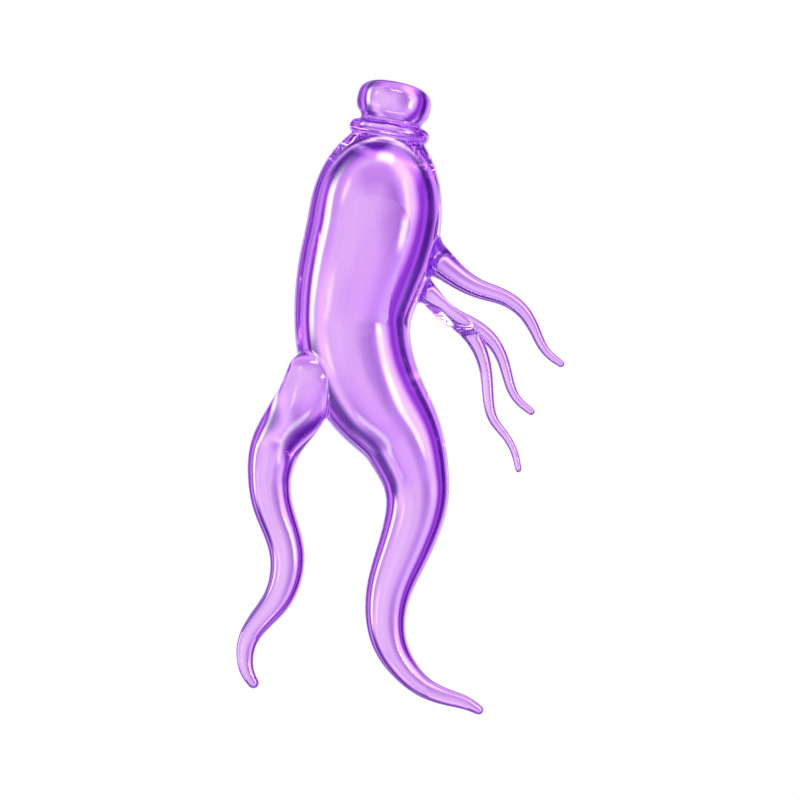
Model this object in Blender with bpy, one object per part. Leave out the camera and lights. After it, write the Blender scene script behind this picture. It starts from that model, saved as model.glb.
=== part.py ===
"""A ginseng root in solid violet glass, lying on its back: one fused body.

The crown points to +Y, the two legs to -Y, and the fine roots reach out to +X. The root
rests at z = 0 on a long flat ground under its thick part, and on small ones under both feet.
"""

import math

import bmesh
import bpy
import numpy as np
from mathutils import Matrix, Vector

MM = 0.001

# Each limb is a ball swept along a smooth curve. A station is x, y, the ball's radius and the
# gap under the ball, all in millimetres. A gap below zero is glass ground away.
MAIN_ROOT = [
    (-2.9, 62.6, 7.9, 8.3),
    (-3.8, 59.0, 10.6, 5.1),
    (-4.8, 54.5, 13.8, 2.1),
    (-5.7, 48.8, 16.1, 0.1),
    (-6.7, 42.0, 16.6, -0.2),
    (-8.6, 35.0, 16.2, -0.2),
    (-10.5, 28.4, 15.4, -0.2),
    (-11.7, 21.5, 14.6, -0.2),
    (-11.5, 14.0, 14.2, 0.1),
    (-9.5, 6.8, 13.6, 0.5),
    (-5.7, -0.3, 12.4, 0.8),
    (-0.85, -7.0, 10.7, 1.1),
    (2.0, -13.0, 9.55, 1.2),
    (3.7, -18.5, 8.5, 1.3),
    (4.3, -24.5, 7.8, 1.2),
    (2.9, -31.8, 7.1, 1.0),
    (0.1, -39.5, 6.4, 0.8),
    (-2.6, -47.0, 5.7, 0.7),
    (-3.6, -54.5, 5.0, 0.6),
    (-2.6, -61.0, 4.3, 0.5),
    (0.8, -67.2, 3.4, 0.3),
    (6.0, -72.2, 2.6, 0.0),
    (11.9, -74.8, 2.1, -0.2),
    (16.6, -76.3, 1.7, -0.1),
    (19.8, -78.0, 1.2, 0.2),
]
LEFT_LEG = [
    (-21.9, 6.2, 6.1, 14.6),
    (-23.2, 1.8, 6.6, 12.6),
    (-25.4, -2.7, 6.9, 9.7),
    (-28.9, -7.8, 6.5, 7.0),
    (-31.5, -13.0, 6.0, 5.2),
    (-32.6, -19.5, 5.4, 3.8),
    (-32.0, -25.8, 5.0, 2.7),
    (-30.0, -32.0, 4.6, 1.8),
    (-28.4, -38.0, 4.4, 1.2),
    (-28.6, -44.0, 4.1, 0.8),
    (-30.8, -49.9, 3.6, 0.5),
    (-34.8, -55.0, 3.0, 0.2),
    (-38.1, -60.0, 2.5, -0.1),
    (-39.0, -65.0, 2.1, -0.3),
    (-38.2, -69.0, 1.7, -0.1),
    (-36.9, -71.2, 1.4, 0.1),
]
# The leg leaves the body as a web of glass, and this is the web's lower edge.
LEG_WEB = [
    (-21.9, 6.2, 6.1, 1.6),
    (-23.2, 1.8, 6.6, 2.0),
    (-25.4, -2.7, 6.8, 3.1),
    (-28.9, -7.8, 6.4, 4.5),
    (-31.4, -12.6, 5.8, 5.0),
    (-32.3, -16.6, 5.3, 4.7),
]
UPPER_FINE_ROOT = [
    (3.2, 38.4, 5.4, 11.2),
    (8.4, 35.2, 4.1, 13.5),
    (13.8, 30.9, 3.0, 15.0),
    (19.5, 27.6, 2.4, 15.4),
    (26.0, 25.3, 2.0, 15.4),
    (30.6, 21.9, 1.7, 15.2),
    (33.7, 16.8, 1.35, 14.9),
    (36.2, 12.2, 1.1, 14.5),
    (40.0, 9.0, 0.9, 14.1),
]
FRONT_FINE_ROOT = [
    (2.6, 30.2, 3.4, 10.8),
    (6.4, 27.2, 2.7, 11.6),
    (10.6, 22.4, 2.45, 12.1),
    (15.3, 18.6, 2.15, 12.6),
    (19.3, 13.5, 1.9, 12.7),
    (21.4, 7.0, 1.55, 12.2),
    (22.0, 0.6, 1.4, 11.5),
    (23.3, -4.9, 1.2, 10.7),
    (26.2, -8.8, 1.0, 9.9),
    (28.6, -13.2, 0.9, 9.0),
    (29.6, -17.3, 0.8, 8.6),
]
BACK_FINE_ROOT = [
    (4.4, 30.8, 1.6, 12.4),
    (8.2, 26.4, 1.5, 11.7),
    (12.6, 22.0, 1.6, 11.0),
    (17.6, 18.8, 1.95, 10.4),
    (22.4, 15.3, 1.8, 9.9),
    (25.4, 10.6, 1.5, 9.5),
    (27.1, 5.0, 1.3, 8.9),
    (28.9, 0.7, 1.1, 8.5),
    (32.8, -2.9, 0.9, 8.1),
]

# Sides and ring spacing in radii for each limb.
LIMBS = {
    "main_root": (MAIN_ROOT, 32, 0.28),
    "left_leg": (LEFT_LEG, 22, 0.55),
    "leg_web": (LEG_WEB, 22, 0.55),
    "upper_fine_root": (UPPER_FINE_ROOT, 12, 1.1),
    "front_fine_root": (FRONT_FINE_ROOT, 12, 1.1),
    "back_fine_root": (BACK_FINE_ROOT, 12, 1.1),
}
CURVE_STEP = 0.25
CAP_RINGS = 5

# The crown is turned, and each part of it leans a little to the right.
CROWN_HEIGHT = 16.2
KNOB_CENTRE = (-1.5, 73.7)
KNOB_LEAN = math.radians(-12)
KNOB_RADIUS = 9.25
KNOB_HALF_HEIGHT = 5.35
KNOB_SQUARENESS = 0.74
COLLAR_CENTRE = (-2.65, 66.7)
COLLAR_LEAN = math.radians(-10)
COLLAR_RADIUS = 8.2
COLLAR_THICKNESS = 3.7
LIP_DROP = 3.1
LIP_RADIUS = 8.4
LIP_THICKNESS = 2.0
NECK_RADIUS = 7.6
NECK_HALF_LENGTH = 5.0
CROWN_SIDES = 32
RIM_STEPS = 8

GLASS_COLOUR = (0.62, 0.26, 0.92, 1.0)
GLASS_ROUGHNESS = 0.02
GLASS_IOR = 1.5


def smooth_curve(stations):
    """Points and radii, close together, on the natural cubic spline through the stations."""
    rows = np.array([(x, y, radius + gap, radius) for x, y, radius, gap in stations])
    spans = np.linalg.norm(np.diff(rows[:, :3], axis=0), axis=1)
    along = np.concatenate([[0.0], np.cumsum(spans)])
    count = len(rows)
    matrix = np.eye(count)
    right = np.zeros_like(rows)
    for i in range(1, count - 1):
        before, after = spans[i - 1], spans[i]
        matrix[i, i - 1 : i + 2] = before, 2 * (before + after), after
        right[i] = 6 * ((rows[i + 1] - rows[i]) / after - (rows[i] - rows[i - 1]) / before)
    bends = np.linalg.solve(matrix, right)
    places = np.linspace(0.0, along[-1], int(along[-1] / CURVE_STEP) + 2)
    i = np.clip(np.searchsorted(along, places, side="right") - 1, 0, count - 2)
    span = spans[i][:, None]
    a = (along[i + 1] - places)[:, None] / span
    b = 1.0 - a
    return a * rows[i] + b * rows[i + 1] + ((a**3 - a) * bends[i] + (b**3 - b) * bends[i + 1]) * span**2 / 6


def rings_of(curve, spacing):
    """Centre, direction and radius of each ring round the swept ball, with domed ends."""
    points, radii = curve[:, :3], curve[:, 3]
    along = np.concatenate([[0.0], np.cumsum(np.linalg.norm(np.diff(points, axis=0), axis=1))])
    directions = np.gradient(points, along, axis=0)
    directions /= np.linalg.norm(directions, axis=1)[:, None]
    slopes = np.clip(np.gradient(radii, along), -0.9, 0.9)
    chosen = [0]
    for i in range(1, len(points)):
        if along[i] - along[chosen[-1]] >= spacing * radii[i]:
            chosen.append(i)
    chosen[-1] = len(points) - 1
    rings = []
    start, end = math.asin(slopes[0]), math.asin(slopes[-1])
    for step in range(1, CAP_RINGS):
        angle = math.pi / 2 + (start - math.pi / 2) * step / CAP_RINGS
        rings.append((points[0], directions[0], -radii[0] * math.sin(angle), radii[0] * math.cos(angle)))
    for i in chosen:
        lean = math.asin(slopes[i])
        rings.append((points[i], directions[i], -radii[i] * math.sin(lean), radii[i] * math.cos(lean)))
    for step in range(1, CAP_RINGS):
        angle = end + (-math.pi / 2 - end) * step / CAP_RINGS
        rings.append((points[-1], directions[-1], -radii[-1] * math.sin(angle), radii[-1] * math.cos(angle)))
    poles = (points[0] - radii[0] * directions[0], points[-1] + radii[-1] * directions[-1])
    return rings, poles


def mesh_object(name, mesh):
    """Turns a bmesh, in millimetres, into an object in metres."""
    bmesh.ops.scale(mesh, vec=(MM, MM, MM), verts=mesh.verts)
    bmesh.ops.recalc_face_normals(mesh, faces=mesh.faces)
    data = bpy.data.meshes.new(name)
    mesh.to_mesh(data)
    mesh.free()
    obj = bpy.data.objects.new(name, data)
    bpy.context.scene.collection.objects.link(obj)
    return obj


def skin(name, circles, poles):
    """Joins circles of points into one closed skin with a pole at each end."""
    mesh = bmesh.new()
    loops = [[mesh.verts.new(point) for point in circle] for circle in circles]
    first, last = mesh.verts.new(poles[0]), mesh.verts.new(poles[1])
    sides = len(loops[0])
    for k in range(sides):
        after = (k + 1) % sides
        mesh.faces.new((first, loops[0][after], loops[0][k]))
        mesh.faces.new((last, loops[-1][k], loops[-1][after]))
        for lower, upper in zip(loops, loops[1:]):
            mesh.faces.new((lower[k], lower[after], upper[after], upper[k]))
    return mesh_object(name, mesh)


def limb(name, stations, sides, spacing):
    rings, poles = rings_of(smooth_curve(stations), spacing)
    across = Vector((0.0, 0.0, 1.0))
    circles = []
    for centre, direction, shift, radius in rings:
        ahead = Vector(direction)
        across = (across - ahead * across.dot(ahead)).normalized()
        beside = ahead.cross(across)
        middle = Vector(centre) + ahead * shift
        circles.append([
            middle + (across * math.cos(turn) + beside * math.sin(turn)) * radius
            for turn in np.linspace(0.0, 2 * math.pi, sides, endpoint=False)
        ])
    return skin(name, circles, poles)


def turned(name, profile, centre, lean):
    """Turns a profile of (radius, height) pairs round the crown's axis, closed at both ends."""
    place = Matrix.Translation((*centre, CROWN_HEIGHT)) @ Matrix.Rotation(lean, 4, "Z")
    turns = np.linspace(0.0, 2 * math.pi, CROWN_SIDES, endpoint=False)
    circles = [
        [place @ Vector((radius * math.cos(turn), height, radius * math.sin(turn))) for turn in turns]
        for radius, height in profile
    ]
    poles = [place @ Vector((0.0, profile[i][1], 0.0)) for i in (0, -1)]
    return skin(name, circles, poles)


def rounded_disc(radius, half_height, edge):
    """Profile of a disc whose rim is an arc of the given radius, from its underside to its top."""
    angles = np.linspace(-math.pi / 2, math.pi / 2, RIM_STEPS)
    flat = half_height - edge
    return [
        (radius - edge + edge * math.cos(angle), math.copysign(flat, angle) + edge * math.sin(angle))
        for angle in angles
    ]


def pillow(radius, half_height, squareness):
    """Profile of a squashed ball. Its squareness is 1 for an ellipse, and less for a squarer one."""
    angles = np.linspace(-math.pi / 2, math.pi / 2, RIM_STEPS + 4)[1:-1]
    return [
        (
            radius * math.cos(angle) ** squareness,
            math.copysign(half_height * abs(math.sin(angle)) ** squareness, angle),
        )
        for angle in angles
    ]


def crown():
    lip_centre = (
        COLLAR_CENTRE[0] + LIP_DROP * math.sin(COLLAR_LEAN),
        COLLAR_CENTRE[1] - LIP_DROP * math.cos(COLLAR_LEAN),
    )
    knob = pillow(KNOB_RADIUS, KNOB_HALF_HEIGHT, KNOB_SQUARENESS)
    collar_edge, lip_edge = COLLAR_THICKNESS / 2, LIP_THICKNESS / 2
    collar = rounded_disc(COLLAR_RADIUS + collar_edge, collar_edge, collar_edge)
    lip = rounded_disc(LIP_RADIUS + lip_edge, lip_edge, lip_edge)
    neck = [(NECK_RADIUS, -NECK_HALF_LENGTH), (NECK_RADIUS, NECK_HALF_LENGTH)]
    return [
        turned("knob", knob, KNOB_CENTRE, KNOB_LEAN),
        turned("collar", collar, COLLAR_CENTRE, COLLAR_LEAN),
        turned("lip", lip, lip_centre, COLLAR_LEAN),
        turned("neck", neck, COLLAR_CENTRE, COLLAR_LEAN),
    ]


def below_ground():
    """Everything under z = 0, which is ground away so that the root lies still."""
    mesh = bmesh.new()
    bmesh.ops.create_cube(mesh, size=1.0, matrix=Matrix.Diagonal((200.0, 240.0, 20.0, 1.0)))
    bmesh.ops.translate(mesh, vec=(0.0, 0.0, -10.0), verts=mesh.verts)
    return mesh_object("below_ground", mesh)


def combine(body, others, operation):
    for other in others:
        modifier = body.modifiers.new(operation.lower(), "BOOLEAN")
        modifier.operation = operation
        modifier.object = other
    graph = bpy.context.evaluated_depsgraph_get()
    data = bpy.data.meshes.new_from_object(body.evaluated_get(graph))
    body.modifiers.clear()
    body.data = data
    for other in others:
        bpy.data.objects.remove(other)


def glass():
    material = bpy.data.materials.new("violet_glass")
    material.use_nodes = True
    shader = material.node_tree.nodes["Principled BSDF"]
    shader.inputs["Base Color"].default_value = GLASS_COLOUR
    shader.inputs["Roughness"].default_value = GLASS_ROUGHNESS
    shader.inputs["Metallic"].default_value = 0.0
    shader.inputs["IOR"].default_value = GLASS_IOR
    shader.inputs["Transmission Weight"].default_value = 1.0
    return material


def main():
    for obj in list(bpy.data.objects):
        bpy.data.objects.remove(obj)
    parts = [limb(name, *rule) for name, rule in LIMBS.items()] + crown()
    root = parts[0]
    combine(root, parts[1:], "UNION")
    combine(root, [below_ground()], "DIFFERENCE")
    root.name = root.data.name = "ginseng_root"
    root.data.materials.clear()
    root.data.materials.append(glass())
    root.data.shade_smooth()
    root.data.set_sharp_from_angle(angle=math.radians(40))


main()
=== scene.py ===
"""A ginseng root in solid violet glass, seen from straight above on a pale lit surface.

The limbs are balls swept along smooth curves and the crown is turned. They are fused into one
skin, whose points are then moved onto the exact blended surface, so that the glass is smooth.
"""

import math

import bmesh
import bpy
import numpy as np
from mathutils import Matrix, Vector


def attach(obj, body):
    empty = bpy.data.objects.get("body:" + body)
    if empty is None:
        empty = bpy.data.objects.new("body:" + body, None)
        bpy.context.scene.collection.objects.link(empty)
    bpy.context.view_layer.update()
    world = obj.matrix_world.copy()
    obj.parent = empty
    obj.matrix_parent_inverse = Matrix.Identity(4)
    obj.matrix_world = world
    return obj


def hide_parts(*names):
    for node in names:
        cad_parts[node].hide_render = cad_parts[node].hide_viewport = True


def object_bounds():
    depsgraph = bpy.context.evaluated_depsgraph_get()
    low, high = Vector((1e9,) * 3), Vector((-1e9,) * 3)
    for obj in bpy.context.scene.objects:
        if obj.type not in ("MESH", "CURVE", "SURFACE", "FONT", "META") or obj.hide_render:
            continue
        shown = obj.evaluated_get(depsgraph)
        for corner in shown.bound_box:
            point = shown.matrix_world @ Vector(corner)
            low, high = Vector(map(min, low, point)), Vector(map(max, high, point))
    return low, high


bl_info = {
    "name": "Glass Ginseng Root",
    "version": (1, 0, 0),
    "blender": (4, 5, 0),
    "location": "View3D > Sidebar > Ginseng",
    "description": "Draws a ginseng root in violet glass and the stage it is seen on",
    "category": "Object",
}

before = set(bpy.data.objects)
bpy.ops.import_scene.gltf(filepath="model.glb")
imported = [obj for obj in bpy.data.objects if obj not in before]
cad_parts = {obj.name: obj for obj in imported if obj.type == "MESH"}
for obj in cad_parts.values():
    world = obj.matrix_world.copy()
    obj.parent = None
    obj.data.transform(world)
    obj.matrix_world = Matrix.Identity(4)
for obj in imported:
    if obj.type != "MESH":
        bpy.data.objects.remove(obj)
CAD_BOX = [list(corner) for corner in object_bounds()]

MM = 0.001
NODE = "ginseng_root"
BODY = "root"

# Each limb is a ball swept along a smooth curve. A station is x, y, the ball's radius and the
# gap under the ball, all in millimetres. A gap below zero is glass ground away.
MAIN_ROOT = [
    (-2.9, 62.6, 7.9, 8.3),
    (-3.8, 59.0, 10.6, 5.1),
    (-4.8, 54.5, 13.8, 2.1),
    (-5.7, 48.8, 16.1, 0.1),
    (-6.7, 42.0, 16.6, -0.2),
    (-8.6, 35.0, 16.2, -0.2),
    (-10.5, 28.4, 15.4, -0.2),
    (-11.7, 21.5, 14.6, -0.2),
    (-11.5, 14.0, 14.2, 0.1),
    (-9.5, 6.8, 13.6, 0.5),
    (-5.7, -0.3, 12.4, 0.8),
    (-0.85, -7.0, 10.7, 1.1),
    (2.0, -13.0, 9.55, 1.2),
    (3.7, -18.5, 8.5, 1.3),
    (4.3, -24.5, 7.8, 1.2),
    (2.9, -31.8, 7.1, 1.0),
    (0.1, -39.5, 6.4, 0.8),
    (-2.6, -47.0, 5.7, 0.7),
    (-3.6, -54.5, 5.0, 0.6),
    (-2.6, -61.0, 4.3, 0.5),
    (0.8, -67.2, 3.4, 0.3),
    (6.0, -72.2, 2.6, 0.0),
    (11.9, -74.8, 2.1, -0.2),
    (16.6, -76.3, 1.7, -0.1),
    (19.8, -78.0, 1.2, 0.2),
]
LEFT_LEG = [
    (-21.9, 6.2, 6.1, 14.6),
    (-23.2, 1.8, 6.6, 12.6),
    (-25.4, -2.7, 6.9, 9.7),
    (-28.9, -7.8, 6.5, 7.0),
    (-31.5, -13.0, 6.0, 5.2),
    (-32.6, -19.5, 5.4, 3.8),
    (-32.0, -25.8, 5.0, 2.7),
    (-30.0, -32.0, 4.6, 1.8),
    (-28.4, -38.0, 4.4, 1.2),
    (-28.6, -44.0, 4.1, 0.8),
    (-30.8, -49.9, 3.6, 0.5),
    (-34.8, -55.0, 3.0, 0.2),
    (-38.1, -60.0, 2.5, -0.1),
    (-39.0, -65.0, 2.1, -0.3),
    (-38.2, -69.0, 1.7, -0.1),
    (-36.9, -71.2, 1.4, 0.1),
]
# The leg leaves the body as a web of glass, and this is the web's lower edge.
LEG_WEB = [
    (-21.9, 6.2, 6.1, 1.6),
    (-23.2, 1.8, 6.6, 2.0),
    (-25.4, -2.7, 6.8, 3.1),
    (-28.9, -7.8, 6.4, 4.5),
    (-31.4, -12.6, 5.8, 5.0),
    (-32.3, -16.6, 5.3, 4.7),
]
UPPER_FINE_ROOT = [
    (3.2, 38.4, 5.4, 11.2),
    (8.4, 35.2, 4.1, 13.5),
    (13.8, 30.9, 3.0, 15.0),
    (19.5, 27.6, 2.4, 15.4),
    (26.0, 25.3, 2.0, 15.4),
    (30.6, 21.9, 1.7, 15.2),
    (33.7, 16.8, 1.35, 14.9),
    (36.2, 12.2, 1.1, 14.5),
    (40.0, 9.0, 0.9, 14.1),
]
FRONT_FINE_ROOT = [
    (2.6, 30.2, 3.4, 10.8),
    (6.4, 27.2, 2.7, 11.6),
    (10.6, 22.4, 2.45, 12.1),
    (15.3, 18.6, 2.15, 12.6),
    (19.3, 13.5, 1.9, 12.7),
    (21.4, 7.0, 1.55, 12.2),
    (22.0, 0.6, 1.4, 11.5),
    (23.3, -4.9, 1.2, 10.7),
    (26.2, -8.8, 1.0, 9.9),
    (28.6, -13.2, 0.9, 9.0),
    (29.6, -17.3, 0.8, 8.6),
]
BACK_FINE_ROOT = [
    (4.4, 30.8, 1.6, 12.4),
    (8.2, 26.4, 1.5, 11.7),
    (12.6, 22.0, 1.6, 11.0),
    (17.6, 18.8, 1.95, 10.4),
    (22.4, 15.3, 1.8, 9.9),
    (25.4, 10.6, 1.5, 9.5),
    (27.1, 5.0, 1.3, 8.9),
    (28.9, 0.7, 1.1, 8.5),
    (32.8, -2.9, 0.9, 8.1),
]
LIMBS = {
    "main_root": MAIN_ROOT,
    "left_leg": LEFT_LEG,
    "leg_web": LEG_WEB,
    "upper_fine_root": UPPER_FINE_ROOT,
    "front_fine_root": FRONT_FINE_ROOT,
    "back_fine_root": BACK_FINE_ROOT,
}

# The crown is turned, and each part of it leans a little to the right.
CROWN_HEIGHT = 16.2
KNOB_CENTRE = (-1.5, 73.7)
KNOB_LEAN = math.radians(-12)
KNOB_RADIUS = 9.25
KNOB_HALF_HEIGHT = 5.35
KNOB_SQUARENESS = 0.74
COLLAR_CENTRE = (-2.65, 66.7)
COLLAR_LEAN = math.radians(-10)
COLLAR_RADIUS = 8.2
COLLAR_THICKNESS = 3.7
LIP_DROP = 3.1
LIP_RADIUS = 8.4
LIP_THICKNESS = 2.0
NECK_RADIUS = 7.6
NECK_HALF_LENGTH = 5.0

# Fineness of the first, overlapping pieces
LIMB_SIDES = 48
END_RINGS = 6
CURVE_STEP = 0.5
LEAST_SAMPLES = 8
CROWN_SIDES = 96
PROFILE_STEPS = 16

# How the points of the skin are brought onto the glass. Each of the first rounds evens them out by
# a share and moves them onto the surface, and the last rounds only move them.
SEARCH_STEP = 1.0
SEARCH_CHUNK = 20000
PLACE_STEPS = 6
PLACE_PULL = 0.8
SETTLE_ROUNDS = 5
FINAL_ROUNDS = 5
EVENING = 0.6
WELD = 0.01
LEVEL = 0.999
TINY = 1e-9

# Painted shade on the sides of the crown and the thin ends grows with the distance from this point, in
# millimetres, and from the first to the second of these turns away from the eye.
BODY_MIDDLE = (-9.0, 24.0, 16.0)
ENDS_SHADE_FACING = (0.04, 0.4)

# Camera and stage
PICTURE_WIDTH = 0.2
PICTURE_CENTRE = (0.0, 0.0)
MIDDLE_HEIGHT = 0.009
SENSOR_WIDTH = 36.0
CLIP_END = 100.0
FLOOR_SIDE = 6.0
LIGHT_BOUNCES = 64
WHITE = (1.0, 1.0, 1.0, 1.0)

# Numbers of the colour sockets of a Mix node, which share their names with its other sockets
MIX_FIRST, MIX_SECOND, MIX_RESULT = 6, 7, 2


class Spline:
    """A natural cubic curve through stations of x, y, height and radius, in millimetres."""

    def __init__(self, stations):
        self.rows = np.array([(x, y, radius + gap, radius) for x, y, radius, gap in stations])
        self.spans = np.linalg.norm(np.diff(self.rows[:, :3], axis=0), axis=1)
        self.along = np.concatenate([[0.0], np.cumsum(self.spans)])
        self.length = self.along[-1]
        count = len(self.rows)
        matrix = np.eye(count)
        right = np.zeros_like(self.rows)
        for i in range(1, count - 1):
            before, after = self.spans[i - 1], self.spans[i]
            matrix[i, i - 1 : i + 2] = before, 2 * (before + after), after
            ahead = (self.rows[i + 1] - self.rows[i]) / after
            behind = (self.rows[i] - self.rows[i - 1]) / before
            right[i] = 6 * (ahead - behind)
        self.bends = np.linalg.solve(matrix, right)

    def at(self, places):
        """Point with radius, and how both change along the curve."""
        i = np.clip(np.searchsorted(self.along, places, side="right") - 1, 0, len(self.rows) - 2)
        span = self.spans[i][:, None]
        b = (places - self.along[i])[:, None] / span
        a = 1.0 - b
        low, high = self.rows[i], self.rows[i + 1]
        bend_low, bend_high = self.bends[i], self.bends[i + 1]
        value = a * low + b * high + ((a**3 - a) * bend_low + (b**3 - b) * bend_high) * span**2 / 6
        slope = (high - low) / span + ((3 * b**2 - 1) * bend_high - (3 * a**2 - 1) * bend_low) * span / 6
        return value, slope

    def samples(self, step):
        """Places along the curve about a step apart, and the point with radius at each."""
        count = max(LEAST_SAMPLES, int(self.length / step))
        places = np.linspace(0.0, self.length, count)
        return places, self.at(places)[0]


class SweptBall:
    """Distance to, and direction away from, the skin of a ball swept along a spline."""

    def __init__(self, stations):
        self.spline = Spline(stations)
        self.places = None

    def find(self, points):
        """Finds the nearest ball for each point, roughly, once."""
        places, rows = self.spline.samples(SEARCH_STEP)
        self.places = np.empty(len(points))
        for start in range(0, len(points), SEARCH_CHUNK):
            some = points[start : start + SEARCH_CHUNK]
            gaps = np.linalg.norm(some[:, None, :] - rows[None, :, :3], axis=2) - rows[None, :, 3]
            self.places[start : start + SEARCH_CHUNK] = places[gaps.argmin(axis=1)]

    def __call__(self, points):
        """Distance and direction, after the nearest ball has been moved to its exact place."""
        for _ in range(PLACE_STEPS):
            value, slope = self.spline.at(self.places)
            away = points - value[:, :3]
            reach = np.linalg.norm(away, axis=1)
            miss = (away * slope[:, :3]).sum(axis=1) + slope[:, 3] * reach
            self.places = np.clip(self.places + PLACE_PULL * miss, 0.0, self.spline.length)
        value, _ = self.spline.at(self.places)
        away = points - value[:, :3]
        reach = np.linalg.norm(away, axis=1)
        return reach - value[:, 3], away / reach[:, None]


class Turned:
    """A solid of revolution round an axis that lies flat in the root, leaning to one side."""

    def __init__(self, centre, lean, rule):
        self.centre = np.array([*centre, CROWN_HEIGHT])
        self.axis = np.array([-math.sin(lean), math.cos(lean), 0.0])
        self.rule = rule

    def find(self, points):
        """Needs nothing, since a turned part works out each point by itself."""

    def __call__(self, points):
        offset = points - self.centre
        height = offset @ self.axis
        across = offset - height[:, None] * self.axis
        radius = np.linalg.norm(across, axis=1) + TINY
        distance, out, up = self.rule(radius, height)
        return distance, out[:, None] * across / radius[:, None] + up[:, None] * self.axis


def pillow_rule(radius, height):
    """Distance to the knob's squashed ball, from its formula and the formula's slope."""
    power = 2.0 / KNOB_SQUARENESS
    across, up = radius / KNOB_RADIUS, np.abs(height) / KNOB_HALF_HEIGHT + TINY
    size = (across**power + up**power) ** (1 / power)
    slope_out = (across / size) ** (power - 1) / KNOB_RADIUS
    slope_up = np.sign(height) * (up / size) ** (power - 1) / KNOB_HALF_HEIGHT
    steep = np.hypot(slope_out, slope_up)
    return (size - 1) / steep, slope_out / steep, slope_up / steep


def bead_rule(ring_radius, thickness):
    """Gives the rule for the distance to a round bead that runs round the axis."""

    def rule(radius, height):
        out = radius - ring_radius
        reach = np.hypot(out, height) + TINY
        return reach - thickness / 2, out / reach, height / reach

    return rule


def neck_rule(radius, height):
    """Distance to the plain drum that joins the crown to the body."""
    side, end = radius - NECK_RADIUS, np.abs(height) - NECK_HALF_LENGTH
    on_side = side > end
    return (
        np.where(on_side, side, end),
        np.where(on_side, 1.0, 0.0),
        np.where(on_side, 0.0, np.sign(height)),
    )


class FusedGlass:
    """The limbs and the crown run together, each with a fillet of its own width."""

    def __init__(self, parts):
        self.parts = parts

    def find(self, points):
        for part, _ in self.parts:
            part.find(points)

    def __call__(self, points):
        distance, away = self.parts[0][0](points)
        for part, fillet in self.parts[1:]:
            other, other_away = part(points)
            share = np.clip(0.5 + 0.5 * (other - distance) / fillet, 0.0, 1.0)
            distance = other * (1 - share) + distance * share - fillet * share * (1 - share)
            away = other_away * (1 - share)[:, None] + away * share[:, None]
        return distance, away / np.linalg.norm(away, axis=1)[:, None]


def lip_centre():
    """The lip sits a little below the collar, on the collar's own axis."""
    return (
        COLLAR_CENTRE[0] + LIP_DROP * math.sin(COLLAR_LEAN),
        COLLAR_CENTRE[1] - LIP_DROP * math.cos(COLLAR_LEAN),
    )


def fused_root(shape):
    """The limbs and then the parts of the crown, in the order in which they run together."""
    limb_fillets = {
        "main_root": 0.0,
        "left_leg": shape.leg_fillet,
        "leg_web": shape.leg_fillet,
        "upper_fine_root": shape.root_fillet,
        "front_fine_root": shape.root_fillet,
        "back_fine_root": shape.fork_fillet,
    }
    crown = (
        (COLLAR_CENTRE, COLLAR_LEAN, neck_rule),
        (lip_centre(), COLLAR_LEAN, bead_rule(LIP_RADIUS, LIP_THICKNESS)),
        (COLLAR_CENTRE, COLLAR_LEAN, bead_rule(COLLAR_RADIUS, COLLAR_THICKNESS)),
        (KNOB_CENTRE, KNOB_LEAN, pillow_rule),
    )
    parts = [(SweptBall(LIMBS[name]), fillet / MM) for name, fillet in limb_fillets.items()]
    parts += [(Turned(*part), shape.crown_fillet / MM) for part in crown]
    return FusedGlass(parts)


def round_end(last, before):
    """Points with radius that carry a limb's end on as half a ball."""
    forward = (last - before)[:3] / np.linalg.norm((last - before)[:3])
    turns = [math.pi / 2 * step / END_RINGS for step in range(1, END_RINGS)]
    return [(*(last[:3] + forward * last[3] * math.sin(t)), last[3] * math.cos(t)) for t in turns]


def limb_curve(name, stations):
    """A curve object along a limb, whose radius follows the ball and rounds off both ends."""
    _, rows = Spline(stations).samples(CURVE_STEP)
    head, tail = round_end(rows[0], rows[1]), round_end(rows[-1], rows[-2])
    rows = np.concatenate([head[::-1], rows, tail])
    data = bpy.data.curves.new(name, "CURVE")
    data.dimensions = "3D"
    spline = data.splines.new("POLY")
    spline.points.add(len(rows) - 1)
    for point, row in zip(spline.points, rows):
        point.co = (*(row[:3] * MM), 1.0)
        point.radius = row[3] * MM
    obj = bpy.data.objects.new(name, data)
    bpy.context.scene.collection.objects.link(obj)
    return obj


def drawn_limb_tree(material):
    """Geometry nodes that draw a round limb along a curve, as thick as the curve's radius."""
    tree = bpy.data.node_groups.new("drawn limb", "GeometryNodeTree")
    tree.interface.new_socket("Curve", in_out="INPUT", socket_type="NodeSocketGeometry")
    tree.interface.new_socket("Sides", in_out="INPUT", socket_type="NodeSocketInt")
    tree.interface.new_socket("Limb", in_out="OUTPUT", socket_type="NodeSocketGeometry")
    nodes, links = tree.nodes, tree.links
    start, end = nodes.new("NodeGroupInput"), nodes.new("NodeGroupOutput")
    circle = nodes.new("GeometryNodeCurvePrimitiveCircle")
    radius = nodes.new("GeometryNodeInputRadius")
    sweep = nodes.new("GeometryNodeCurveToMesh")
    real = nodes.new("GeometryNodeRealizeInstances")
    finish = nodes.new("GeometryNodeSetMaterial")
    circle.inputs["Radius"].default_value = 1.0
    sweep.inputs["Fill Caps"].default_value = True
    finish.inputs["Material"].default_value = material
    links.new(start.outputs["Sides"], circle.inputs["Resolution"])
    links.new(start.outputs["Curve"], sweep.inputs["Curve"])
    links.new(circle.outputs["Curve"], sweep.inputs["Profile Curve"])
    links.new(radius.outputs["Radius"], sweep.inputs["Scale"])
    links.new(sweep.outputs["Mesh"], real.inputs["Geometry"])
    links.new(real.outputs["Geometry"], finish.inputs["Geometry"])
    links.new(finish.outputs["Geometry"], end.inputs["Limb"])
    return tree


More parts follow.
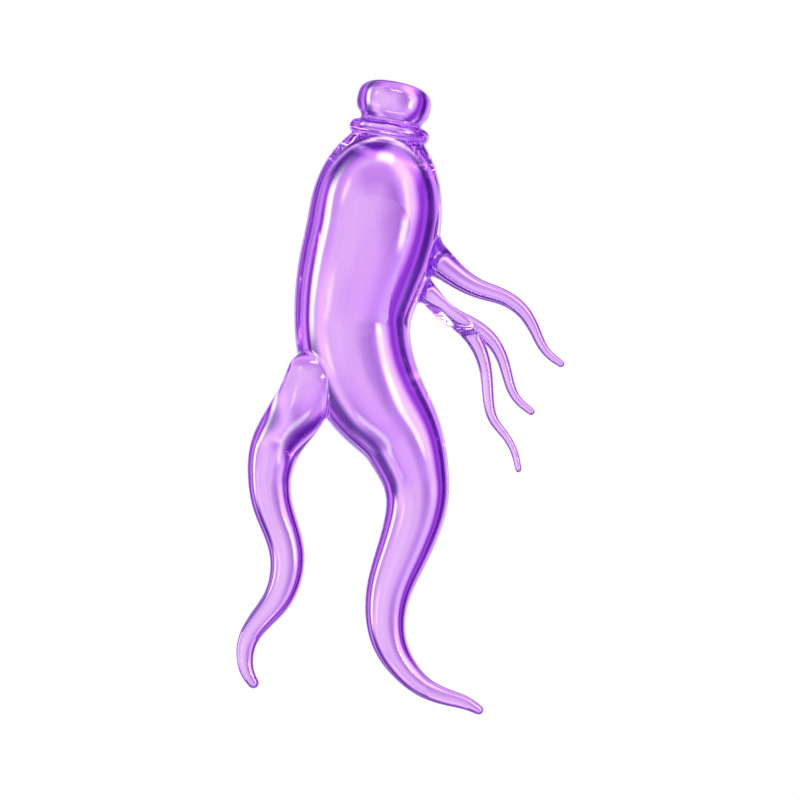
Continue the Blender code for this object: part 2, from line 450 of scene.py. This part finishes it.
def set_input(modifier, name, value):
    """Sets a modifier's input by the identifier of its socket."""
    for item in modifier.node_group.interface.items_tree:
        if item.item_type == "SOCKET" and item.in_out == "INPUT" and item.name == name:
            modifier[item.identifier] = value


def evaluated_mesh(obj):
    """A plain mesh of the object as its modifiers leave it."""
    graph = bpy.context.evaluated_depsgraph_get()
    return bpy.data.meshes.new_from_object(obj.evaluated_get(graph))


def mesh_points(mesh):
    """The points of a mesh, in millimetres."""
    points = np.empty(len(mesh.vertices) * 3)
    mesh.vertices.foreach_get("co", points)
    return points.reshape(-1, 3) / MM


def mesh_arrays(mesh):
    """Points and faces of a mesh, the faces as lists of point numbers."""
    return mesh_points(mesh), [tuple(face.vertices) for face in mesh.polygons]


def drawn_limbs(tree):
    """Each limb as a closed tube."""
    limbs = []
    for name, stations in LIMBS.items():
        curve = limb_curve(name, stations)
        modifier = curve.modifiers.new("drawn limb", "NODES")
        modifier.node_group = tree
        set_input(modifier, "Sides", LIMB_SIDES)
        limbs.append(mesh_arrays(evaluated_mesh(curve)))
        bpy.data.objects.remove(curve)
    return limbs


def turned_part(profile, centre, lean):
    """Turns a profile of (radius, height) pairs into a closed skin."""
    place = Matrix.Translation((*centre, CROWN_HEIGHT)) @ Matrix.Rotation(lean, 4, "Z")
    turns = np.linspace(0.0, 2 * math.pi, CROWN_SIDES, endpoint=False)
    points = [
        place @ Vector((radius * math.cos(turn), height, radius * math.sin(turn)))
        for radius, height in profile
        for turn in turns
    ]
    points += [place @ Vector((0.0, profile[i][1], 0.0)) for i in (0, -1)]
    low_pole, high_pole = len(points) - 2, len(points) - 1
    top = (len(profile) - 1) * CROWN_SIDES
    faces = []
    for k in range(CROWN_SIDES):
        after = (k + 1) % CROWN_SIDES
        faces.append((low_pole, k, after))
        faces.append((high_pole, top + after, top + k))
        for row in range(0, top, CROWN_SIDES):
            faces.append((row + k, row + CROWN_SIDES + k, row + CROWN_SIDES + after, row + after))
    return np.array(points), faces


def turned_crown():
    """The knob, the neck and the two beads, each as a closed skin."""
    angles = np.linspace(-math.pi / 2, math.pi / 2, PROFILE_STEPS + 2)[1:-1]
    knob = [
        (
            KNOB_RADIUS * math.cos(angle) ** KNOB_SQUARENESS,
            math.copysign(KNOB_HALF_HEIGHT * abs(math.sin(angle)) ** KNOB_SQUARENESS, angle),
        )
        for angle in angles
    ]
    neck = [(NECK_RADIUS, -NECK_HALF_LENGTH), (NECK_RADIUS, NECK_HALF_LENGTH)]
    parts = [(knob, KNOB_CENTRE, KNOB_LEAN), (neck, COLLAR_CENTRE, COLLAR_LEAN)]
    beads = (
        (LIP_RADIUS, LIP_THICKNESS / 2, lip_centre()),
        (COLLAR_RADIUS, COLLAR_THICKNESS / 2, COLLAR_CENTRE),
    )
    for ring_radius, edge, centre in beads:
        rim = [(ring_radius + edge * math.cos(angle), edge * math.sin(angle)) for angle in angles]
        parts.append((rim, centre, COLLAR_LEAN))
    return [turned_part(*part) for part in parts]


def joined(name, pieces):
    """One object of all the pieces, which still overlap."""
    points, faces, start = [], [], 0
    for piece_points, piece_faces in pieces:
        points.append(piece_points)
        faces += [tuple(start + corner for corner in face) for face in piece_faces]
        start += len(piece_points)
    mesh = bpy.data.meshes.new(name)
    mesh.from_pydata((np.concatenate(points) * MM).tolist(), [], faces)
    obj = bpy.data.objects.new(name, mesh)
    bpy.context.scene.collection.objects.link(obj)
    return obj


def one_skin(obj, grain):
    """Runs overlapping closed pieces into one even skin."""
    modifier = obj.modifiers.new("one skin", "REMESH")
    modifier.mode = "VOXEL"
    modifier.voxel_size = grain
    mesh = evaluated_mesh(obj)
    obj.modifiers.clear()
    obj.data = mesh


def settle(obj, glass):
    """Evens out the skin's points and moves them onto the exact surface of the glass."""
    mesh = obj.data
    points = mesh_points(mesh)
    edges = np.empty(len(mesh.edges) * 2, dtype=np.int64)
    mesh.edges.foreach_get("vertices", edges)
    one, two = edges.reshape(-1, 2).T
    count = np.bincount(one, minlength=len(points)) + np.bincount(two, minlength=len(points))
    glass.find(points)
    for step in range(SETTLE_ROUNDS + FINAL_ROUNDS):
        if step < SETTLE_ROUNDS:
            total = np.zeros_like(points)
            for axis in range(3):
                total[:, axis] = np.bincount(one, points[two, axis], len(points))
                total[:, axis] += np.bincount(two, points[one, axis], len(points))
            points = (1 - EVENING) * points + EVENING * total / count[:, None]
        distance, away = glass(points)
        points = points - distance[:, None] * away
    mesh.vertices.foreach_set("co", (points * MM).ravel())
    mesh.update()


def grind_flat(obj):
    """Cuts away everything under the surface that the root lies on, and closes the cuts."""
    mesh = bmesh.new()
    mesh.from_mesh(obj.data)
    everything = mesh.verts[:] + mesh.edges[:] + mesh.faces[:]
    bmesh.ops.bisect_plane(
        mesh, geom=everything, dist=WELD * MM, plane_co=(0, 0, 0), plane_no=(0, 0, 1), clear_inner=True
    )
    rims = [edge for edge in mesh.edges if edge.is_boundary]
    flats = bmesh.ops.holes_fill(mesh, edges=rims, sides=0)["faces"]
    for face in flats:
        if face.normal.z > 0:
            face.normal_flip()
    mesh.to_mesh(obj.data)
    mesh.free()


def polish(obj, glass):
    """Gives every corner the exact direction of the glass, and the ground flats their own."""
    mesh = obj.data
    points = mesh_points(mesh)
    glass.find(points)
    _, away = glass(points)
    mesh.shade_smooth()
    corners = np.empty(len(mesh.loops), dtype=np.int64)
    mesh.loops.foreach_get("vertex_index", corners)
    normals = away[corners]
    for face in mesh.polygons:
        if face.normal.z < -LEVEL and abs(face.center.z) < WELD * MM:
            normals[face.loop_start : face.loop_start + face.loop_total] = (0.0, 0.0, -1.0)
    mesh.normals_split_custom_set(normals.tolist())


def keep_inside(obj, box):
    """Draws in the few points that stand a hair outside the box of the solid."""
    points = np.clip(mesh_points(obj.data) * MM, box[0], box[1])
    obj.data.vertices.foreach_set("co", points.ravel())
    obj.data.update()


def new_material(name):
    material = bpy.data.materials.new(name)
    material.use_nodes = True
    return material, material.node_tree.nodes, material.node_tree.links


def linked(links, socket, value):
    """Gives a socket a link or a plain value, or leaves it when there is neither."""
    if isinstance(value, bpy.types.NodeSocket):
        links.new(value, socket)
    elif value is not None:
        socket.default_value = value


def maths(nodes, links, operation, first, second=None, third=None):
    node = nodes.new("ShaderNodeMath")
    node.operation = operation
    for socket, value in zip(node.inputs, (first, second, third)):
        linked(links, socket, value)
    return node.outputs[0]


def vector_maths(nodes, links, operation, first, second):
    node = nodes.new("ShaderNodeVectorMath")
    node.operation = operation
    linked(links, node.inputs[0], first)
    linked(links, node.inputs[1], second)
    return node.outputs


def ranged(nodes, links, value, low, high, kind="LINEAR"):
    """Share from 0 to 1 of the way from low to high."""
    node = nodes.new("ShaderNodeMapRange")
    node.interpolation_type = kind
    linked(links, node.inputs["Value"], value)
    node.inputs["From Min"].default_value = low
    node.inputs["From Max"].default_value = high
    return node.outputs["Result"]


def mixed(nodes, links, share, first, second, blend="MIX"):
    """Colour between two others, or the first one blended with the second."""
    node = nodes.new("ShaderNodeMix")
    node.data_type = "RGBA"
    node.blend_type = blend
    linked(links, node.inputs["Factor"], share)
    linked(links, node.inputs[MIX_FIRST], first)
    linked(links, node.inputs[MIX_SECOND], second)
    return node.outputs[MIX_RESULT]


def tint_with_edge_shade(nodes, links, finish, facing):
    """Colour of the glass, deeper where it is seen edge on: painted shade along the rims."""
    ramp = nodes.new("ShaderNodeValToRGB")
    first, last = ramp.color_ramp.elements
    first.position, first.color = finish.edge_shade_start, (*finish.face_colour, 1.0)
    last.position, last.color = finish.edge_shade_end, (*finish.edge_shade_colour, 1.0)
    links.new(facing, ramp.inputs["Fac"])
    return ramp.outputs["Color"]


def ends_shade_share(nodes, links, finish, facing):
    """How much painted shade a place on the ends takes: far from the body's middle, and on its sides."""
    place = nodes.new("ShaderNodeTexCoord").outputs["Object"]
    middle = [part * MM for part in BODY_MIDDLE]
    reach = vector_maths(nodes, links, "DISTANCE", place, middle)["Value"]
    ends = ranged(nodes, links, reach, finish.ends_shade_start, finish.ends_shade_full)
    sides = ranged(nodes, links, facing, *ENDS_SHADE_FACING)
    return maths(nodes, links, "MULTIPLY", ends, sides)


def violet_glass(finish):
    material, nodes, links = new_material("violet glass")
    shader = nodes["Principled BSDF"]
    shader.inputs["Roughness"].default_value = finish.roughness
    shader.inputs["IOR"].default_value = finish.ior
    shader.inputs["Transmission Weight"].default_value = 1.0
    edge = nodes.new("ShaderNodeLayerWeight")
    edge.inputs["Blend"].default_value = 0.5
    facing = edge.outputs["Facing"]
    # The glass's own tint with painted shade at the rims, then painted shade on the sides of the crown and
    # the thin ends.
    tint = tint_with_edge_shade(nodes, links, finish, facing)
    share = ends_shade_share(nodes, links, finish, facing)
    # Painted shade on the sides of the crown and the thin ends.
    tint = mixed(nodes, links, share, tint, (*finish.ends_shade_colour, 1.0), "MULTIPLY")
    links.new(tint, shader.inputs["Base Color"])
    body = nodes.new("ShaderNodeVolumeAbsorption")
    body.inputs["Color"].default_value = (*finish.depth_colour, 1.0)
    body.inputs["Density"].default_value = finish.depth_density
    links.new(body.outputs["Volume"], nodes["Material Output"].inputs["Volume"])
    return material


class GINSENG_PG_shape(bpy.types.PropertyGroup):
    grain: bpy.props.FloatProperty(
        name="Grain",
        description="Spacing of the points on the glass skin",
        default=0.6 * MM,
        min=0.3 * MM,
        unit="LENGTH",
    )
    leg_fillet: bpy.props.FloatProperty(
        name="Leg fillet",
        description="Width over which the left leg runs into the body",
        default=0.9 * MM,
        unit="LENGTH",
    )
    root_fillet: bpy.props.FloatProperty(
        name="Fine root fillet",
        description="Width over which a fine root runs into the body",
        default=2.0 * MM,
        unit="LENGTH",
    )
    fork_fillet: bpy.props.FloatProperty(
        name="Fork fillet",
        description="Width over which the back fine root runs into the front one",
        default=0.5 * MM,
        unit="LENGTH",
    )
    crown_fillet: bpy.props.FloatProperty(
        name="Crown fillet",
        description="Width over which the crown's turned parts run together",
        default=0.7 * MM,
        unit="LENGTH",
    )


class GINSENG_PG_finish(bpy.types.PropertyGroup):
    face_colour: bpy.props.FloatVectorProperty(
        name="Face colour",
        description="Tint of the glass where it faces the eye",
        default=(0.83, 0.55, 0.965),
        subtype="COLOR",
    )
    # The edge colour is painted shade: it darkens the glass towards its rims, where it is seen edge on.
    edge_shade_colour: bpy.props.FloatVectorProperty(
        name="Edge colour",
        description="Tint of the glass where it is seen edge on",
        default=(0.68, 0.32, 0.93),
        subtype="COLOR",
    )
    # Edge start and edge end bound the painted shade along the rims.
    edge_shade_start: bpy.props.FloatProperty(
        name="Edge start",
        description="Turn away from the eye at which the edge tint sets in",
        default=0.3,
        subtype="FACTOR",
    )
    edge_shade_end: bpy.props.FloatProperty(
        name="Edge end",
        description="Turn away from the eye at which the edge tint is full",
        default=0.7,
        subtype="FACTOR",
    )
    # The ends colour is painted shade, multiplied into the sides of the crown and of the root's thin ends.
    ends_shade_colour: bpy.props.FloatVectorProperty(
        name="Ends colour",
        description="Tint added to the sides of the crown and of the root's thin ends",
        default=(0.89, 0.66, 0.96),
        subtype="COLOR",
    )
    ends_shade_start: bpy.props.FloatProperty(
        name="Ends start",
        description="Distance from the middle of the body at which the ends' tint sets in",
        default=26.0 * MM,
        unit="LENGTH",
    )
    ends_shade_full: bpy.props.FloatProperty(
        name="Ends full",
        description="Distance from the middle of the body at which the ends' tint is full",
        default=52.0 * MM,
        unit="LENGTH",
    )
    depth_colour: bpy.props.FloatVectorProperty(
        name="Depth colour",
        description="Colour that light keeps on its way through the glass",
        default=(0.725, 0.125, 0.962),
        subtype="COLOR",
    )
    depth_density: bpy.props.FloatProperty(
        name="Depth density",
        description="How fast the glass takes colour with depth, per metre",
        default=8.0,
    )
    roughness: bpy.props.FloatProperty(
        name="Roughness",
        description="Roughness of the fire-polished skin",
        default=0.0,
        subtype="FACTOR",
    )
    ior: bpy.props.FloatProperty(
        name="Refraction",
        description="Index of refraction of the glass",
        default=1.5,
    )


class GINSENG_PG_stage(bpy.types.PropertyGroup):
    lens: bpy.props.FloatProperty(
        name="Lens",
        description="Focal length of the camera",
        default=200.0,
        unit="CAMERA",
    )
    light_strength: bpy.props.FloatProperty(
        name="Light strength",
        description="Strength of the soft boxes round the root",
        default=1.0,
    )
    floor_colour: bpy.props.FloatVectorProperty(
        name="Floor colour",
        description="Colour of the pale surface",
        default=(1.0, 1.0, 1.0),
        subtype="COLOR",
    )


class GINSENG_OT_draw_root(bpy.types.Operator):
    """Draw the limbs and the crown and fuse them into one glass root"""

    bl_idname = "ginseng.draw_root"
    bl_label = "Draw the glass root"

    def execute(self, context):
        shape, finish = context.scene.ginseng_shape, context.scene.ginseng_finish
        material = violet_glass(finish)
        tree = drawn_limb_tree(material)
        root = joined("glass_root", drawn_limbs(tree) + turned_crown())
        bpy.data.node_groups.remove(tree)
        glass = fused_root(shape)
        one_skin(root, shape.grain)
        settle(root, glass)
        grind_flat(root)
        polish(root, glass)
        keep_inside(root, CAD_BOX)
        root.data.materials.clear()
        root.data.materials.append(material)
        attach(root, BODY)
        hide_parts(NODE)
        return {"FINISHED"}


# Light round the root, as rings. Each stop is an angle up from straight down, in degrees, and
# the colour that comes from there, one list for each side. Above the root all sides are alike.
HALF_TURN = 180
UNDER = (0.95, 0.9, 0.98)
DARK = (0.12, 0.03, 0.34)
DEEP = (0.08, 0.014, 0.26)
UPPER_RINGS = [
    (92, DARK),
    (104, (0.2, 0.07, 0.45)),
    (122, (0.55, 0.36, 0.85)),
    (HALF_TURN, (0.75, 0.56, 0.95)),
]
RIGHT_RINGS = [
    (0, UNDER),
    (8, (1.0, 0.97, 1.0)),
    (22, (0.96, 0.9, 0.99)),
    (25, (0.84, 0.66, 0.97)),
    (28.5, (0.9, 0.7, 1.0)),
    (31, (1.3, 2.1, 1.1)),
    (36, (1.3, 2.1, 1.1)),
    (37.3, (0.95, 0.45, 1.0)),
    (39, (0.42, 0.13, 0.7)),
    (41.5, (0.28, 0.07, 0.6)),
    (45, (0.8, 0.42, 1.0)),
    (52, (0.65, 0.26, 0.92)),
    (57, (0.2, 0.05, 0.48)),
    (62, (0.5, 0.22, 0.8)),
    (68, DARK),
] + UPPER_RINGS
LEFT_RINGS = [
    (0, UNDER),
    (4, (0.8, 0.68, 0.89)),
    (8, (0.64, 0.47, 0.79)),
    (12, (0.51, 0.32, 0.69)),
    (16, (0.6, 0.43, 0.9)),
    (19, (0.82, 0.8, 0.97)),
    (24, (0.92, 0.92, 1.0)),
    (26.5, (0.85, 0.5, 1.0)),
    (29.5, (0.42, 0.1, 0.78)),
    (33, (0.3, 0.06, 0.64)),
    (37, (0.5, 0.15, 0.86)),
    (40, DEEP),
    (48, DEEP),
    (51, (0.6, 0.22, 0.9)),
    (55, (0.9, 0.65, 1.0)),
    (64, (1.1, 1.2, 1.05)),
    (70, (0.8, 0.5, 0.95)),
    (78, (0.2, 0.06, 0.45)),
] + UPPER_RINGS
FRONT_RINGS = [
    (0, UNDER),
    (6, (0.85, 0.74, 0.93)),
    (12, (0.7, 0.5, 0.87)),
    (18, (0.76, 0.56, 0.92)),
    (22, (0.98, 0.9, 1.0)),
    (26, (0.8, 0.5, 0.98)),
    (30, (0.4, 0.1, 0.76)),
    (34, DEEP),
    (39, (0.3, 0.08, 0.62)),
    (43, (1.2, 1.5, 1.05)),
    (47, (1.2, 1.5, 1.05)),
    (50, (0.1, 0.02, 0.3)),
    (58, DARK),
    (63, (0.9, 0.6, 1.0)),
    (69, DARK),
] + UPPER_RINGS
BACK_RINGS = [
    (0, UNDER),
    (8, (0.88, 0.76, 0.95)),
    (16, (0.7, 0.48, 0.89)),
    (23, (0.8, 0.57, 0.96)),
    (27, (0.3, 0.07, 0.62)),
    (31, DEEP),
    (36, (0.4, 0.12, 0.75)),
    (40, (1.1, 1.3, 1.05)),
    (44, (0.5, 0.2, 0.8)),
    (48, DEEP),
    (56, DARK),
    (62, (1.0, 0.8, 1.0)),
    (68, DARK),
] + UPPER_RINGS
# Half the width of the change from one side's rings to the next side's, on a scale of -1 to 1
SIDES_REACH = 0.4
ENDWAYS_REACH = 0.8
# The rings wave in and out by this many degrees, this many times in a turn, from this phase on
RING_WARP = 3.0
RING_WARP_TURNS = 3.0
RING_WARP_PHASE = 40.0
# Streaks set in between these two angles up from straight down
STREAK_START = 26.0
STREAK_FULL = 34.0
STREAKS_PER_TURN = 70.0
STREAK_DEPTH = 1.1
# Least value that the rings' directions are divided by
LEAST_WIDTH = 0.001

# Soft boxes: the turn round from the right side towards the crown, the angle up from straight
# down, half the width, half the height (all in degrees) and the strength.
SOFT_BOXES = [
    (78, 117, 13, 5, 17.0),
    (-9, 126, 9, 5, 17.0),
    (16, 122, 16, 3, 7.0),
    (149, 116, 8, 3, 8.0),
    (199, 124, 8, 4, 6.0),
    (268, 118, 24, 4, 9.0),
    (231, 30, 13, 8, 0.55),
    (34, 24, 12, 3, 0.8),
    (108, 13, 22, 6, 0.1),
    (205, 21, 12, 4, 0.45),
]
SOFT_EDGE = 0.11
# A box is only looked for where its own direction is at least this much ahead
LEAST_REACH = 0.05

# Dark flags, placed in the same way, with how much of the light they take.
FLAGS = [
    (36, 34, 13, 8, 0.9),
    (60, 25, 24, 7, 0.55),
    (310, 40, 16, 7, 0.9),
]
FLAG_COLOUR = (0.09, 0.018, 0.28)


def light_ramp(nodes, rings):
    """A ramp with a stop for each ring, from straight down at 0 to straight up at 1."""
    ramp = nodes.new("ShaderNodeValToRGB")
    elements = ramp.color_ramp.elements
    elements.remove(elements[1])
    elements[0].position = 0.0
    elements[0].color = (*rings[0][1], 1.0)
    for angle, colour in rings[1:]:
        elements.new(angle / HALF_TURN).color = (*colour, 1.0)
    return ramp


def soft_box_group():
    """Node group: how much a direction lies inside a rectangle of light with soft edges."""
    tree = bpy.data.node_groups.new("soft box", "ShaderNodeTree")
    for name in ("Direction", "Towards", "Across", "Up"):
        tree.interface.new_socket(name, in_out="INPUT", socket_type="NodeSocketVector")
    for name in ("Half Width", "Half Height", "Edge"):
        tree.interface.new_socket(name, in_out="INPUT", socket_type="NodeSocketFloat")
    tree.interface.new_socket("Mask", in_out="OUTPUT", socket_type="NodeSocketFloat")
    nodes, links = tree.nodes, tree.links
    given = nodes.new("NodeGroupInput").outputs
    reach = vector_maths(nodes, links, "DOT_PRODUCT", given["Direction"], given["Towards"])["Value"]
    mask = maths(nodes, links, "GREATER_THAN", reach, LEAST_REACH)
    reach = maths(nodes, links, "MAXIMUM", reach, LEAST_REACH)
    for axis, half in (("Across", "Half Width"), ("Up", "Half Height")):
        offset = vector_maths(nodes, links, "DOT_PRODUCT", given["Direction"], given[axis])["Value"]
        offset = maths(nodes, links, "ABSOLUTE", maths(nodes, links, "DIVIDE", offset, reach))
        inside = maths(nodes, links, "SUBTRACT", given[half], offset)
        inside = maths(nodes, links, "DIVIDE", inside, given["Edge"])
        inside = ranged(nodes, links, inside, -1.0, 1.0, "SMOOTHERSTEP")
        mask = maths(nodes, links, "MULTIPLY", mask, inside)
    links.new(mask, nodes.new("NodeGroupOutput").inputs["Mask"])
    return tree


def add_soft_box(nodes, links, tree, direction, box):
    """Strength of one soft box or flag in a direction."""
    *angles, strength = box
    turn, angle, half_width, half_height = (math.radians(value) for value in angles)
    towards = Vector((math.cos(turn) * math.sin(angle), math.sin(turn) * math.sin(angle), -math.cos(angle)))
    across = Vector((-math.sin(turn), math.cos(turn), 0.0))
    node = nodes.new("ShaderNodeGroup")
    node.node_tree = tree
    links.new(direction, node.inputs["Direction"])
    node.inputs["Towards"].default_value = towards
    node.inputs["Across"].default_value = across
    node.inputs["Up"].default_value = towards.cross(across)
    node.inputs["Half Width"].default_value = math.tan(half_width)
    node.inputs["Half Height"].default_value = math.tan(half_height)
    node.inputs["Edge"].default_value = SOFT_EDGE
    return maths(nodes, links, "MULTIPLY", node.outputs["Mask"], strength)


def ring_share(nodes, links, value, reach):
    """Turns -1 to 1 into a share that changes over in the middle."""
    return ranged(nodes, links, value, -reach, reach, "SMOOTHSTEP")


def streaks(nodes, links, angle, turn):
    """Brighter and darker lines within the outer rings."""
    place = nodes.new("ShaderNodeCombineXYZ")
    links.new(maths(nodes, links, "MULTIPLY", angle, STREAKS_PER_TURN / math.tau), place.inputs["X"])
    links.new(maths(nodes, links, "SINE", turn), place.inputs["Y"])
    links.new(maths(nodes, links, "COSINE", turn), place.inputs["Z"])
    noise = nodes.new("ShaderNodeTexNoise")
    noise.inputs["Scale"].default_value = 1.0
    noise.inputs["Detail"].default_value = 1.0
    links.new(place.outputs["Vector"], noise.inputs["Vector"])
    lines = maths(nodes, links, "MULTIPLY_ADD", noise.outputs["Fac"], 2.0 * STREAK_DEPTH, -STREAK_DEPTH)
    start, full = math.radians(STREAK_START), math.radians(STREAK_FULL)
    outer = ranged(nodes, links, angle, start, full, "SMOOTHSTEP")
    lines = maths(nodes, links, "MULTIPLY", lines, outer)
    return maths(nodes, links, "MAXIMUM", maths(nodes, links, "ADD", lines, 1.0), 0.0)


def ring_light(nodes, links, direction):
    """Colour of the rings in a direction, with the rings bent a little in and out."""
    split = nodes.new("ShaderNodeSeparateXYZ")
    links.new(direction, split.inputs["Vector"])
    down = maths(nodes, links, "MULTIPLY", split.outputs["Z"], -1.0)
    angle = maths(nodes, links, "ARCCOSINE", down)
    wide = maths(nodes, links, "MAXIMUM", maths(nodes, links, "SINE", angle), LEAST_WIDTH)
    across = maths(nodes, links, "DIVIDE", split.outputs["X"], wide)
    along = maths(nodes, links, "DIVIDE", split.outputs["Y"], wide)
    turn = maths(nodes, links, "ARCTAN2", split.outputs["Y"], split.outputs["X"])
    wave = maths(nodes, links, "MULTIPLY_ADD", turn, RING_WARP_TURNS, math.radians(RING_WARP_PHASE))
    wave = maths(nodes, links, "MULTIPLY", maths(nodes, links, "SINE", wave), wide)
    angle = maths(nodes, links, "MULTIPLY_ADD", wave, math.radians(RING_WARP), angle)
    share = maths(nodes, links, "DIVIDE", angle, math.pi)
    ramps = [light_ramp(nodes, rings) for rings in (LEFT_RINGS, RIGHT_RINGS, FRONT_RINGS, BACK_RINGS)]
    for ramp in ramps:
        links.new(share, ramp.inputs["Fac"])
    left, right, front, back = (ramp.outputs["Color"] for ramp in ramps)
    sides = mixed(nodes, links, ring_share(nodes, links, across, SIDES_REACH), left, right)
    ends = mixed(nodes, links, ring_share(nodes, links, along, SIDES_REACH), front, back)
    squared = maths(nodes, links, "MULTIPLY", along, along)
    endways = maths(nodes, links, "MULTIPLY_ADD", squared, 2.0, -1.0)
    rings = mixed(nodes, links, ring_share(nodes, links, endways, ENDWAYS_REACH), sides, ends)
    lit = nodes.new("ShaderNodeVectorMath")
    lit.operation = "SCALE"
    links.new(rings, lit.inputs[0])
    links.new(streaks(nodes, links, angle, turn), lit.inputs["Scale"])
    return lit.outputs["Vector"]


def studio_world(strength):
    """The light all round. The camera itself sees it as plain white."""
    world = bpy.data.worlds.new("studio")
    bpy.context.scene.world = world
    world.use_nodes = True
    nodes, links = world.node_tree.nodes, world.node_tree.links
    direction = nodes.new("ShaderNodeTexCoord").outputs["Generated"]
    rings = ring_light(nodes, links, direction)
    tree = soft_box_group()
    for flag in FLAGS:
        shade = add_soft_box(nodes, links, tree, direction, flag)
        rings = mixed(nodes, links, shade, rings, (*FLAG_COLOUR, 1.0))
    glow = 0.0
    for box in SOFT_BOXES:
        glow = maths(nodes, links, "ADD", add_soft_box(nodes, links, tree, direction, box), glow)
    glow = maths(nodes, links, "MULTIPLY", glow, strength)
    light = vector_maths(nodes, links, "ADD", rings, glow)["Vector"]
    rays = nodes.new("ShaderNodeLightPath")
    seen = mixed(nodes, links, rays.outputs["Is Camera Ray"], light, WHITE)
    links.new(seen, nodes["Background"].inputs["Color"])


def plain_floor(colour):
    """The surface that the root lies on. The glass doesn't see it, only its own light."""
    half = FLOOR_SIDE / 2
    mesh = bpy.data.meshes.new("floor")
    corners = [(-half, -half, 0.0), (half, -half, 0.0), (half, half, 0.0), (-half, half, 0.0)]
    mesh.from_pydata(corners, [], [(0, 1, 2, 3)])
    floor = bpy.data.objects.new("floor", mesh)
    bpy.context.scene.collection.objects.link(floor)
    material, nodes, links = new_material("pale floor")
    nodes.remove(nodes["Principled BSDF"])
    glow = nodes.new("ShaderNodeEmission")
    glow.inputs["Color"].default_value = (*colour, 1.0)
    links.new(glow.outputs["Emission"], nodes["Material Output"].inputs["Surface"])
    mesh.materials.append(material)
    floor.visible_transmission = False
    floor.visible_glossy = False


def overhead_camera(lens):
    """A long lens straight above the root."""
    data = bpy.data.cameras.new("camera")
    data.lens = lens
    data.sensor_width = SENSOR_WIDTH
    distance = PICTURE_WIDTH / SENSOR_WIDTH * lens
    camera = bpy.data.objects.new("camera", data)
    camera.location = (*PICTURE_CENTRE, MIDDLE_HEIGHT + distance)
    data.clip_end = CLIP_END
    bpy.context.scene.collection.objects.link(camera)
    bpy.context.scene.camera = camera


class GINSENG_OT_set_stage(bpy.types.Operator):
    """Set up the pale floor, the studio light and the camera overhead"""

    bl_idname = "ginseng.set_stage"
    bl_label = "Set the stage"

    def execute(self, context):
        stage = context.scene.ginseng_stage
        studio_world(stage.light_strength)
        plain_floor(stage.floor_colour)
        overhead_camera(stage.lens)
        scene = context.scene
        scene.view_settings.view_transform = "Standard"
        scene.cycles.max_bounces = LIGHT_BOUNCES
        scene.cycles.transmission_bounces = LIGHT_BOUNCES
        scene.cycles.glossy_bounces = LIGHT_BOUNCES
        scene.cycles.use_denoising = True
        return {"FINISHED"}


class GINSENG_PT_panel(bpy.types.Panel):
    """Shows the settings of the glass root and its stage, and the buttons that draw them"""

    bl_idname = "GINSENG_PT_panel"
    bl_label = "Glass Ginseng Root"
    bl_space_type = "VIEW_3D"
    bl_region_type = "UI"
    bl_category = "Ginseng"

    def draw(self, context):
        scene = context.scene
        for group in (scene.ginseng_shape, scene.ginseng_finish, scene.ginseng_stage):
            box = self.layout.box()
            for name in group.__annotations__:
                box.prop(group, name)
        self.layout.operator(GINSENG_OT_draw_root.bl_idname)
        self.layout.operator(GINSENG_OT_set_stage.bl_idname)


CLASSES = (
    GINSENG_PG_shape,
    GINSENG_PG_finish,
    GINSENG_PG_stage,
    GINSENG_OT_draw_root,
    GINSENG_OT_set_stage,
    GINSENG_PT_panel,
)


def register():
    for cls in CLASSES:
        bpy.utils.register_class(cls)
    bpy.types.Scene.ginseng_shape = bpy.props.PointerProperty(type=GINSENG_PG_shape)
    bpy.types.Scene.ginseng_finish = bpy.props.PointerProperty(type=GINSENG_PG_finish)
    bpy.types.Scene.ginseng_stage = bpy.props.PointerProperty(type=GINSENG_PG_stage)


def unregister():
    del bpy.types.Scene.ginseng_stage
    del bpy.types.Scene.ginseng_finish
    del bpy.types.Scene.ginseng_shape
    for cls in reversed(CLASSES):
        bpy.utils.unregister_class(cls)


def main():
    register()
    bpy.ops.ginseng.draw_root()
    bpy.ops.ginseng.set_stage()


if __name__ == "__main__":
    main()
